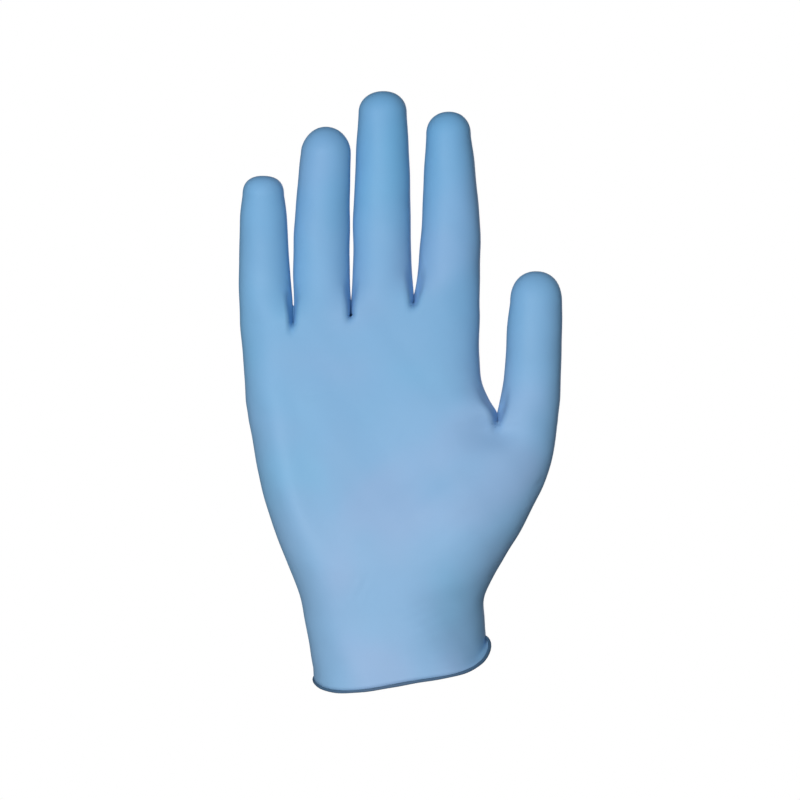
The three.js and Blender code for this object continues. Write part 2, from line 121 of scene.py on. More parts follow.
# Sections from the fork to the webs. spread: share of FORK_SPREAD that the thumb's side stands out.
KNUCKLES = table(
    "up left spread depth front back",
    (0.00, 0.627, 1.00, PALM_DEPTH, 0.475, 0.480),
    (0.09, 0.632, 0.88, PALM_DEPTH, 0.470, 0.475),
    (0.20, 0.640, 0.50, PALM_DEPTH, 0.460, 0.465),
    (0.38, 0.645, 0.12, PALM_DEPTH, 0.435, 0.445),
    (0.58, 0.653, 0.00, PALM_DEPTH, 0.410, 0.425),
    (0.80, 0.660, -0.05, KNUCKLE_DEPTH, 0.510, 0.530),
    (1.00, 0.666, 0.00, KNUCKLE_DEPTH, 0.490, 0.490),
)
# Outlines of the fingers from root to dome, as shares of the finger's width from its axis.
OUTLINES = (
    table(
        "up left right",
        (0.00, 0.490, 0.500),
        (0.18, 0.500, 0.490),
        (0.38, 0.500, 0.450),
        (0.62, 0.485, 0.425),
        (0.82, 0.463, 0.405),
        (1.00, 0.413, 0.355),
    ),
    table(
        "up left right",
        (0.00, 0.500, 0.500),
        (0.20, 0.496, 0.484),
        (0.48, 0.492, 0.483),
        (0.62, 0.464, 0.483),
        (0.86, 0.397, 0.498),
        (1.00, 0.345, 0.505),
    ),
    table(
        "up left right",
        (0.00, 0.500, 0.500),
        (0.10, 0.486, 0.480),
        (0.30, 0.468, 0.460),
        (0.50, 0.466, 0.458),
        (0.67, 0.438, 0.444),
        (0.85, 0.408, 0.428),
        (1.00, 0.368, 0.398),
    ),
    table(
        "up left right",
        (0.00, 0.500, 0.500),
        (0.09, 0.442, 0.500),
        (0.25, 0.418, 0.500),
        (0.45, 0.388, 0.500),
        (0.68, 0.357, 0.456),
        (0.85, 0.334, 0.420),
        (1.00, 0.308, 0.360),
    ),
    table(
        "up left right",
        (0.00, 0.500, 0.490),
        (0.09, 0.446, 0.510),
        (0.18, 0.424, 0.526),
        (0.30, 0.407, 0.532),
        (0.50, 0.370, 0.544),
        (0.75, 0.348, 0.556),
        (1.00, 0.288, 0.556),
    ),
)
# Profile of each finger from root to dome: shares of its depth to the front and back, and of its lean.
PROFILE = table(
    "up front back lean",
    (0.0, 0.540, 0.520, 0.00),
    (0.2, 0.530, 0.500, 0.03),
    (0.4, 0.490, 0.480, 0.13),
    (0.6, 0.490, 0.460, 0.34),
    (0.8, 0.465, 0.435, 0.66),
    (1.0, 0.420, 0.400, 1.00),
)
# Pads of the palm's front: thumb ball, little finger's side, palm hollow and fork hollow. edge: 1 where
# across is measured from the section's left edge and 0 where it is from the origin. across, wide and high
# are shares of the hand's width, up is one of the fork's height and rise one of the palm's depth.
PADS = table(
    "edge across up wide high rise",
    (0.0, 0.200, 0.66, 0.170, 0.20, 0.09),
    (1.0, 0.078, 0.80, 0.062, 0.42, 0.07),
    (0.0, -0.070, 0.92, 0.200, 0.22, -0.07),
    (0.0, 0.290, 0.97, 0.085, 0.055, -0.15),
)

# Fineness of the film's grid: steps across each finger's front and round a side, rows up, and steps round
# the bead. An ease above 1 draws rows closer together at their start.
FINGER_STEPS = 18
SIDE_STEPS = 10
PALM_ROWS = 72
KNUCKLE_ROWS = 56
FINGER_ROWS = 46
DOME_ROWS = 12
BEAD_STEPS = 12
KNUCKLE_EASE = 1.2
FINGER_EASE = 1.25
FINGER_SIDE = math.radians(35)  # angles from straight aside at which a side turns into a face
PALM_SIDE = math.radians(27)
BRANCH_BLEND = 0.015  # height over which a finger's root takes on the finger's own section

KNUCKLE_LINES = -KNUCKLES_LEFT * KNUCKLE_WIDTH + np.r_[0, np.cumsum(FINGERS["width"][:4])]
FORK_X = KNUCKLES_RIGHT * KNUCKLE_WIDTH + FORK_SPREAD
WEB_X = np.r_[KNUCKLE_LINES[1:4], FORK_X]
WEB_Z = FORK_HEIGHT + WEBS["height"]
ROOT_X = np.r_[(KNUCKLE_LINES[:-1] + KNUCKLE_LINES[1:]) / 2, FORK_X + FINGERS["width"][4] / 2]
ROOT_Z = np.array([WEB_Z[0], WEB_Z[:2].mean(), WEB_Z[1:3].mean(), WEB_Z[2], FORK_HEIGHT])


def along(rows, column, up):
    """A column's value at a height between a table's rows: on each span a cubic whose slopes at its two
    rows are those of the straight line between their neighbours."""
    at, value = rows["up"], column
    before = np.maximum(np.arange(len(at)) - 1, 0)
    after = np.minimum(np.arange(len(at)) + 1, len(at) - 1)
    slope = (value[after] - value[before]) / (at[after] - at[before])
    i = np.clip(np.searchsorted(at, up), 1, len(at) - 1)
    span = at[i] - at[i - 1]
    t = np.clip((up - at[i - 1]) / span, 0, 1)
    return (
        (2 * t**3 - 3 * t**2 + 1) * value[i - 1]
        + (t**3 - 2 * t**2 + t) * span * slope[i - 1]
        + (3 * t**2 - 2 * t**3) * value[i]
        + (t**3 - t**2) * span * slope[i]
    )


def smooth(value, low, high):
    """0 below low, 1 above high, and between them three times the square less twice the cube."""
    t = np.clip((value - low) / (high - low), 0, 1)
    return t * t * (3 - 2 * t)


def signed_power(value, power):
    """The value's size raised to a power, with the value's sign."""
    return np.sign(value) * np.abs(value) ** power


def palm_columns(shares):
    """A ring's columns, along the front from left to right, round the right side, along the back and round
    the left: face is -1 on the front, 1 on the back and 0 round a side, where angle counts and not share."""
    side = np.linspace(-PALM_SIDE, PALM_SIDE, SIDE_STEPS + 1)[1:-1]
    still = np.zeros_like(side)
    return {
        "face": np.r_[-np.ones_like(shares), still, np.ones_like(shares), still],
        "share": np.r_[shares, still, shares[::-1], still],
        "angle": np.r_[0 * shares, side, 0 * shares, math.pi + side],
    }


def finger_columns():
    """The same order on a finger, all by angle: wide arcs on front and back, narrow ones at the sides."""
    wide = np.linspace(FINGER_SIDE - math.pi, -FINGER_SIDE, FINGER_STEPS + 1)
    side = np.linspace(-FINGER_SIDE, FINGER_SIDE, SIDE_STEPS + 1)[1:-1]
    angles = np.r_[wide, side, wide + math.pi, math.pi + side]
    return {"face": 0 * angles, "share": 0 * angles, "angle": angles}


def face_reach(flat):
    """How far a face of the flattened circle runs from its middle: the side angle's cosine to the 2/n."""
    return math.cos(PALM_SIDE) ** (2 / flat)


def unit_place(ring, flat):
    """Places on a flattened circle, |x|^n + y^2 = 1: at an angle, x is the cosine raised to 2/n and y the
    sine; on a face x is spread evenly over the face's reach and y follows from x."""
    across = (2 * ring["share"] - 1) * face_reach(flat)
    out = ring["face"] * np.sqrt(1 - np.minimum(np.abs(across), 1) ** flat)
    turned = signed_power(np.cos(ring["angle"]), 2 / flat)
    risen = np.sin(ring["angle"])
    on_face = ring["face"] != 0
    return np.where(on_face, across, turned), np.where(on_face, out, risen)


def place_on(section, ring):
    """x between the section's left and right edges, y out from its middle plane by the front or back depth,
    and back by the swing times the square of the way from the origin to the right edge."""
    across, out = unit_place(ring, section["flat"])
    x = (section["left"] + section["right"]) / 2 + across * (section["right"] - section["left"]) / 2
    y = section["middle"] + out * np.where(out < 0, section["front"], section["back"])
    return x, y + section["swing"] * (np.maximum(x, 0) / section["right"]) ** 2


def palm_section(z):
    """The cuff's and palm's section at a height, from the rows of PALM."""
    up = z / FORK_HEIGHT
    return {
        "left": -along(PALM, PALM["left"] * PALM["width"], up),
        "right": along(PALM, PALM["right"] * PALM["width"], up),
        "front": along(PALM, PALM["front"] * PALM["depth"], up),
        "back": along(PALM, PALM["back"] * PALM["depth"], up),
        "flat": along(PALM, PALM["flat"], up),
        "swing": along(PALM, PALM["swing"], up),
        "middle": 0,
    }


def knuckle_section(z):
    """The section between the fork and the webs, from the rows of KNUCKLES."""
    up = (z - FORK_HEIGHT) / KNUCKLE_HEIGHT
    return {
        "left": -along(KNUCKLES, KNUCKLES["left"], up) * KNUCKLE_WIDTH,
        "right": KNUCKLES_RIGHT * KNUCKLE_WIDTH + along(KNUCKLES, KNUCKLES["spread"], up) * FORK_SPREAD,
        "front": along(KNUCKLES, KNUCKLES["front"] * KNUCKLES["depth"], up),
        "back": along(KNUCKLES, KNUCKLES["back"] * KNUCKLES["depth"], up),
        "flat": PALM_FLAT,
        "swing": 0,
        "middle": 0,
    }


def finger_section(i, z):
    """A finger's section: its outline and profile, narrowed over the dome by the root of 1 less the
    height's power, and with the middle plane leaning to the front."""
    size = {name: values[i] for name, values in FINGERS.items()}
    straight = size["length"] - size["dome"]
    up = (z - ROOT_Z[i]) / straight
    left = ROOT_X[i] - along(OUTLINES[i], OUTLINES[i]["left"], up) * size["width"]
    right = ROOT_X[i] + along(OUTLINES[i], OUTLINES[i]["right"], up) * size["width"]
    dome = np.clip((z - ROOT_Z[i] - straight) / size["dome"], 0, 1)
    narrowing = (1 - dome ** size["square"]) ** (1 / size["square"])
    centre = (left + right) / 2
    return {
        "left": centre + (left - centre) * narrowing,
        "right": centre + (right - centre) * narrowing,
        "front": along(PROFILE, PROFILE["front"], up) * size["depth"] * narrowing,
        "back": along(PROFILE, PROFILE["back"], up) * size["depth"] * narrowing,
        "flat": FINGER_FLAT,
        "swing": 0,
        "middle": -along(PROFILE, PROFILE["lean"], up) * size["lean"],
    }


def shape_face(x, y, z, left):
    """The palm's faces: the front raised or sunk by bell curves, its pads, and both faces pressed in at each
    web's crease by a squared hump across times 1 less a quarter circle's rise below the web."""
    depth = np.abs(y)
    for edge, across, up, wide, high, rise in zip(*PADS.values()):
        aside = (x - edge * left) / HAND_WIDTH - across
        above = (z - up * FORK_HEIGHT) / HAND_WIDTH
        bell = np.exp(-((aside / wide) ** 2) - (above / high) ** 2)
        depth = depth + (y < 0) * rise * PALM_DEPTH * bell
    for web_x, web_z, deep, valley, wide, slant in zip(WEB_X, WEB_Z, *list(WEBS.values())[2:]):
        middle = web_x - slant * np.maximum(web_z - z, 0)
        near = np.clip(1 - np.abs((x - middle) / wide) ** CREASE_ROUND, 0, 1)
        below = np.clip((web_z - z) / valley, 0, 1)
        close = 1 - np.sqrt(below * (2 - below))
        depth = depth - np.maximum(depth - deep, 0) * near**2 * close
    return x, np.sign(y) * depth


class Shell:
    """Points and faces of one skin, added grid by grid. A grid's rows are closed rings."""

    def __init__(self):
        self.points = np.zeros((0, 3))
        self.quads = []
        self.fans = []

    def add(self, places):
        """Adds points and gives their numbers, in the shape of the rows they came in."""
        start = len(self.points)
        self.points = np.r_[self.points, places.reshape(-1, 3)]
        return start + np.arange(places[..., 0].size).reshape(places.shape[:-1])

    def join(self, ids):
        """Quads between each ring of numbers and the next one up."""
        turned = np.roll(ids, -1, axis=1)
        self.quads.append(np.stack([ids[:-1], turned[:-1], turned[1:], ids[1:]], axis=-1).reshape(-1, 4))

    def close(self, ring, place):
        """Triangles from a ring to one point, a tip."""
        tip = self.add(np.array([place]))[0]
        self.fans.append(np.stack([ring, np.roll(ring, -1), np.full_like(ring, tip)], axis=-1))

    def triangles(self):
        """All faces as triangles."""
        quads = np.concatenate(self.quads)
        return np.concatenate([quads[:, [0, 1, 2]], quads[:, [0, 2, 3]], *self.fans])

    def normals(self):
        """At each point, the sum of the cross products of its triangles' edges, made one long."""
        faces = self.triangles()
        a, b, c = (self.points[faces[:, k]] for k in range(3))
        across = np.cross(b - a, c - a)
        total = np.zeros_like(self.points)
        for k in range(3):
            np.add.at(total, faces[:, k], across)
        return total / np.linalg.norm(total, axis=1, keepdims=True)


def part_of_ring(ring, start, end, right=None, left=None):
    """The part of a ring between two of its face columns, closed by a chain of points on each side."""
    steps = len(ring) // 2 - SIDE_STEPS
    far = 2 * steps + SIDE_STEPS
    right = ring[steps + 1 : steps + SIDE_STEPS] if right is None else right
    left = ring[far + 1 :] if left is None else left[::-1]
    return np.r_[ring[start : end + 1], right, ring[far - end : far - start + 1], left]


def saddle(skin, ring, column, rise):
    """A web: a straight chain from the ring's front column to its back one, raised by a parabola."""
    front = skin.points[ring[column]]
    back = skin.points[ring[len(ring) - SIDE_STEPS - column]]
    t = np.linspace(-1, 1, SIDE_STEPS + 1)[1:-1, None]
    chain = front + (back - front) * (t + 1) / 2
    chain[:, 2:] += rise * (1 - t**2)
    return skin.add(chain)


def grow(skin, root, rows, top, place):
    """Rings from a root up to a height: each is the branch's own section, and what sets the root apart
    from it dies away smoothly. Gives the last ring's numbers."""
    start = skin.points[root]
    apart = start[:, :2] - np.stack(place(start[:, 2]), axis=-1)
    z = start[:, 2] + rows[:, None] * (top - start[:, 2])
    kept = 1 - smooth(z - start[:, 2], 0, BRANCH_BLEND)
    xy = np.stack(place(z), axis=-1) + kept[..., None] * apart
    ids = skin.add(np.concatenate([xy, z[..., None]], axis=-1))
    skin.join(np.r_[root[None], ids])
    return ids[-1]


def eased(count, ease=1.0):
    """Rows from 0 to 1 without the 0: even steps to the power of the ease."""
    return np.linspace(0, 1, count + 1)[1:] ** ease


def rim_height(x, y):
    """The rim's height: a plane that climbs to the thumb and to the back, lifted by the fourth power of the
    way to the left and the cube of the way to the right, and turned up to the back by the square of the
    latter."""
    plane = x * math.tan(RIM_CLIMB_TO_THUMB) + y * math.tan(RIM_CLIMB_TO_BACK)
    left = np.maximum(-2 * x / CUFF_WIDTH, 0)
    right = np.maximum(2 * x / CUFF_WIDTH, 0)
    return plane + RIM_LIFT_LEFT * left**4 + RIM_LIFT_RIGHT * right**3 + RIM_TWIST * right**2 * y


def share_at(section, x):
    """The share of the way across a section's face at which a place lies."""
    reach = face_reach(section["flat"]) * (section["right"] - section["left"])
    return 0.5 + (x - (section["left"] + section["right"]) / 2) / reach


def column_shares():
    """The face columns' shares of the way across: at the rim half of 1 plus an even angle's cosine over the
    side angle's, and at the fork and the webs even steps in each finger's part."""
    lines = share_at(knuckle_section(np.array(FORK_HEIGHT + KNUCKLE_HEIGHT)), KNUCKLE_LINES)
    lines = np.r_[0, lines[1:4], 1]
    parts = [np.linspace(a, b, FINGER_STEPS + 1)[:-1] for a, b in zip(lines, lines[1:])]
    upper = np.r_[np.concatenate(parts), 1]
    split = share_at(palm_section(np.array(FORK_HEIGHT)), FORK_X)
    at_fork = np.r_[upper * split, np.linspace(split, 1, FINGER_STEPS + 1)[1:]]
    angles = np.linspace(PALM_SIDE - math.pi, -PALM_SIDE, len(at_fork))
    even = (1 + np.cos(angles) / math.cos(PALM_SIDE)) / 2
    return even, at_fork, upper


def hand_skin():
    """The film's outer face: rings from the rim to the fork, where the thumb's rings part from the
    palm's at a saddle, then to the webs, where the fingers' rings part in the same way."""
    skin = Shell()
    even, at_fork, upper = column_shares()
    rim_x, rim_y = place_on(palm_section(np.zeros(1)), palm_columns(even))
    rim_z = rim_height(rim_x, rim_y)
    rim = skin.add(np.stack([rim_x, rim_y, rim_z], axis=-1))
    rings = [rim]
    for up in eased(PALM_ROWS):
        z = rim_z + (FORK_HEIGHT - rim_z) * up
        ring = palm_columns(even + (at_fork - even) * up)
        section = palm_section(z)
        x, y = shape_face(*place_on(section, ring), z, section["left"])
        rings.append(skin.add(np.stack([x, y, z], axis=-1)))
    skin.join(np.array(rings))

    palm_steps = 4 * FINGER_STEPS
    fork = saddle(skin, rings[-1], palm_steps, WEBS["rise"][3])
    thumb_root = part_of_ring(rings[-1], palm_steps, 5 * FINGER_STEPS, left=fork)
    palm_root = part_of_ring(rings[-1], 0, palm_steps, right=fork)

    upper_ring = palm_columns(upper)
    heights = np.interp(np.arange(len(upper)), FINGER_STEPS * np.arange(5), WEB_Z[[0, 0, 1, 2, 2]])
    side = np.ones(SIDE_STEPS - 1)
    top = np.r_[heights, heights[-1] * side, heights[::-1], heights[0] * side]

    def knuckle_place(z):
        """The knuckles' outline at a height, with its pads and creases."""
        section = knuckle_section(z)
        return shape_face(*place_on(section, upper_ring), z, section["left"])

    knuckles = grow(skin, palm_root, eased(KNUCKLE_ROWS, KNUCKLE_EASE), top, knuckle_place)
    webs = [saddle(skin, knuckles, (i + 1) * FINGER_STEPS, WEBS["rise"][i]) for i in range(3)]
    chains = [None, *webs, None]
    roots = [
        part_of_ring(knuckles, i * FINGER_STEPS, (i + 1) * FINGER_STEPS, chains[i + 1], chains[i])
        for i in range(4)
    ]
    ring = finger_columns()
    for i, root in enumerate([*roots, thumb_root]):
        foot = ROOT_Z[i] + FINGERS["length"][i] - FINGERS["dome"][i]
        straight = grow(
            skin, root, eased(FINGER_ROWS, FINGER_EASE), foot, lambda z: place_on(finger_section(i, z), ring)
        )
        rise = np.sin(np.linspace(0, math.pi / 2, DOME_ROWS + 2)[1:-1])
        z = np.repeat((foot + rise * FINGERS["dome"][i])[:, None], len(ring["angle"]), axis=1)
        dome = skin.add(np.stack([*place_on(finger_section(i, z), ring), z], axis=-1))
        skin.join(np.r_[straight[None], dome])
        tip = np.array([ROOT_Z[i] + FINGERS["length"][i]])
        peak = finger_section(i, tip)
        skin.close(dome[-1], [peak["left"][0], peak["middle"][0], tip[0]])
    return skin, rim


# Broad unevenness of the film: sine waves through space, in waves per metre, with their height in metres.
WAVES = table(
    "x y z shift rise",
    (31.0, 17.0, 13.0, 0.4, 0.00011),
    (-19.0, 28.0, 26.0, 2.1, 0.00009),
    (52.0, -24.0, 37.0, 4.0, 0.00005),
    (11.0, 47.0, -58.0, 5.2, 0.00004),
    (83.0, 30.0, 61.0, 1.3, 0.00002),
)
# Creases across the front: a groove along a line from its first place to its second. It keeps its depth up
# to the even share of its length from its middle, and dies away beyond over the fade share.
CREASE_EVEN = 0.35
CREASE_FADE = 0.15
CREASES = table(
    "x z to_x to_z wide deep",
    (-0.0160, 0.1776, 0.0040, 0.1784, 0.0009, 0.00018),
    (0.0080, 0.1750, 0.0290, 0.1758, 0.0010, 0.00016),
    (0.0100, 0.2034, 0.0270, 0.2040, 0.0008, 0.00016),
    (0.0545, 0.0730, 0.0575, 0.0765, 0.0008, 0.00030),
    (-0.0380, 0.1085, -0.0250, 0.1110, 0.0012, 0.00014),
    (-0.0120, 0.0345, -0.0160, 0.0385, 0.0011, 0.00016),
)
# Patches of parallel ripples in a round window. face: -1 on the front and 1 on the back. turn: from level.
# length: from crest to crest.
RIPPLES = table(
    "face x z wide high turn length rise",
    (-1, 0.0080, 0.0190, 0.0090, 0.0080, 0.42, 0.0040, 0.00012),
    (-1, 0.0300, 0.0040, 0.0040, 0.0035, 0.90, 0.0018, 0.00007),
    (-1, 0.0120, 0.0090, 0.0180, 0.0040, 0.16, 0.0030, 0.00007),
    (-1, -0.0160, 0.0330, 0.0060, 0.0080, 1.10, 0.0042, 0.00008),
    (-1, 0.0120, 0.0640, 0.0150, 0.0150, 0.70, 0.0090, 0.00010),
    (1, -0.0100, 0.0200, 0.0160, 0.0100, -0.30, 0.0046, 0.00012),
    (1, 0.0100, 0.0750, 0.0220, 0.0160, 0.50, 0.0100, 0.00012),
    (1, -0.0120, 0.1250, 0.0220, 0.0120, 0.10, 0.0120, 0.00012),
)
FACING = 0.5  # how far a normal turns to the front or back before the relief there is whole


def relief(points, normals):
    """How far each place of the outer face stands out: the waves' sines added up, less a bell curve of the
    distance to each crease's line, plus each patch's sine under a bell-shaped window."""
    x, y, z = points.T
    turns = points @ np.array([WAVES["x"], WAVES["y"], WAVES["z"]])
    rise = np.sin(2 * math.pi * turns + WAVES["shift"]) @ WAVES["rise"]
    front = smooth(-normals[:, 1], 0.0, FACING)
    back = smooth(normals[:, 1], 0.0, FACING)
    for x0, z0, x1, z1, wide, deep in zip(*CREASES.values()):
        run = math.hypot(x1 - x0, z1 - z0)
        along_line = ((x - x0) * (x1 - x0) + (z - z0) * (z1 - z0)) / run
        aside = ((z - z0) * (x1 - x0) - (x - x0) * (z1 - z0)) / run
        beyond = np.maximum(np.abs(along_line - run / 2) - CREASE_EVEN * run, 0) / (CREASE_FADE * run)
        rise -= front * deep * np.exp(-((aside / wide) ** 2) - beyond**2)
    for face, px, pz, wide, high, turn, length, up in zip(*RIPPLES.values()):
        window = np.exp(-(((x - px) / wide) ** 2) - ((z - pz) / high) ** 2)
        across = (z - pz) * math.cos(turn) - (x - px) * math.sin(turn)
        rise += (front if face < 0 else back) * up * window * np.sin(2 * math.pi * across / length)
    return rise


def film_shape(thickness, unevenness):
    """The film as one closed skin: the hand's face moved out along its normals by the relief, the same face
    moved in by the thickness and turned over, and a band between their rims."""
    skin, rim = hand_skin()
    normals = skin.normals()
    outer = skin.points + normals * (unevenness * relief(skin.points, normals))[:, None]
    inner = outer - normals * thickness
    count = len(outer)
    faces = np.concatenate(skin.quads)
    tips = np.concatenate(skin.fans)
    turned = np.roll(rim, -1)
    band = np.stack([rim, rim + count, turned + count, turned], axis=-1)
    quads = np.r_[faces, faces[:, ::-1] + count, band]
    triangles = np.r_[tips, tips[:, ::-1] + count]
    inside = np.r_[np.zeros(count), np.ones(count)]
    return np.r_[outer, inner], quads, triangles, inside, rim


# The bead: how far its middle lies off the film's edge, as a share of its radius, and the sines that swell
# it: waves round the rim, share of the radius and shift.
BEAD_DROP = 0.8
BEAD_SWELLS = ((5, 0.07, 0.7), (13, 0.04, 2.0))


def bead_shape(points, rim, diameter):
    """The bead: a circle carried round the rim's middle line, square to it. Out is away from the film, down
    is the way off its edge, and the radius swells and shrinks by slow sines as rolled film does."""
    outer = points[rim]
    inner = points[rim + len(points) // 2]
    middle = (outer + inner) / 2
    run = outer - points[rim + len(rim)]  # from the next ring up
    ahead = np.roll(middle, -1, axis=0) - np.roll(middle, 1, axis=0)
    down = np.cross(ahead, outer - inner)
    down *= np.sign((down * run).sum()) / np.linalg.norm(down, axis=1, keepdims=True)
    out = np.cross(ahead, down)
    out *= np.sign((out * (outer - inner)).sum()) / np.linalg.norm(out, axis=1, keepdims=True)
    turn = np.linspace(0, 2 * math.pi, len(rim), endpoint=False)
    swell = np.ones(len(rim))
    for waves, share, shift in BEAD_SWELLS:
        swell += share * np.sin(waves * turn + shift)
    radius = diameter / 2 * swell
    round_bead = np.linspace(0, 2 * math.pi, BEAD_STEPS, endpoint=False)
    centre = middle + down * (radius * BEAD_DROP)[:, None]
    ring = (
        centre[:, None]
        + out[:, None] * (radius[:, None] * np.cos(round_bead))[..., None]
        + down[:, None] * (radius[:, None] * np.sin(round_bead))[..., None]
    )
    ids = np.arange(ring[..., 0].size).reshape(ring.shape[:2])
    ahead_ids = np.roll(ids, -1, axis=0)
    quads = np.stack(
        [ids, ahead_ids, np.roll(ahead_ids, -1, axis=1), np.roll(ids, -1, axis=1)], axis=-1
    )
    return ring.reshape(-1, 3), quads.reshape(-1, 4)


def new_object(name, data):
    """An object in the scene, which takes the place of an older one of its name."""
    old = bpy.data.objects.get(name)
    if old is not None:
        bpy.data.objects.remove(old)
    piece = bpy.data.objects.new(name, data)
    bpy.context.scene.collection.objects.link(piece)
    return piece


def new_piece(name, points, quads, triangles=None, **masks):
    """An object at the origin from arrays of points and faces, with a point attribute for each mask."""
    triangles = np.zeros((0, 3), int) if triangles is None else triangles
    mesh = bpy.data.meshes.new(name)
    mesh.vertices.add(len(points))
    mesh.vertices.foreach_set("co", points.astype(np.float32).ravel())
    corners = np.r_[quads.ravel(), triangles.ravel()]
    sides = np.r_[np.full(len(quads), 4), np.full(len(triangles), 3)]
    mesh.loops.add(len(corners))
    mesh.loops.foreach_set("vertex_index", corners.astype(np.int32))
    mesh.polygons.add(len(sides))
    mesh.polygons.foreach_set("loop_start", (np.cumsum(sides) - sides).astype(np.int32))
    mesh.update(calc_edges=True)
    mesh.validate()
    mesh.shade_smooth()
    for mask, values in masks.items():
        attribute = mesh.attributes.new(mask, "FLOAT", "POINT")
        attribute.data.foreach_set("value", values.astype(np.float32))
    return new_object(name, mesh)


def add_node(tree, kind, place, **settings):
    """A node of a kind at a place, with its properties set, or its inputs where a name is an input's."""
    node = tree.nodes.new(kind)
    node.location = place
    for name, value in settings.items():
        if hasattr(node, name):
            setattr(node, name, value)
        else:
            node.inputs[name.replace("_", " ")].default_value = value
    return node


def span_node(tree, place, span, **settings):
    """A node that takes a value from 0 at the span's first number to 1 at its second."""
    node = add_node(tree, "ShaderNodeMapRange", place, **settings)
    node.inputs["From Min"].default_value = span[0]
    node.inputs["From Max"].default_value = span[1]
    return node


# The film's finish. A scale is in turns of a noise for each metre, a place or height in metres.
FINISH_INPUTS = {"Drift": 22.0, "Lightness": 0.06, "Gloss": 0.4, "Grain": 900.0}
DRIFT_START = (-0.64, 0.22, 0.41)  # added to the place, so that the hue's drift begins there
COOL_TO_MIDDLE = (0.30, 0.52)  # values of the drift between which one hue turns into the next
MIDDLE_TO_WARM = (0.50, 0.70)
TINT_HEIGHTS = (0.05, 0.23)  # between them the thin film's tint turns into the thick film's
THIN_TINT = (1.18, 1.02, 1.0)
THICK_TINT = (0.76, 0.91, 0.98)
CLOUD_SCALE = 60.0
CLOUD_GLOSS = 0.16  # how much the clouds of lightness change the roughness
PORE_SCALE = 2600.0
PORE_SHARE = 0.35  # height of the pores as a share of the grain's
GRAIN_STRENGTH = 0.12
GRAIN_HEIGHT = 0.0002


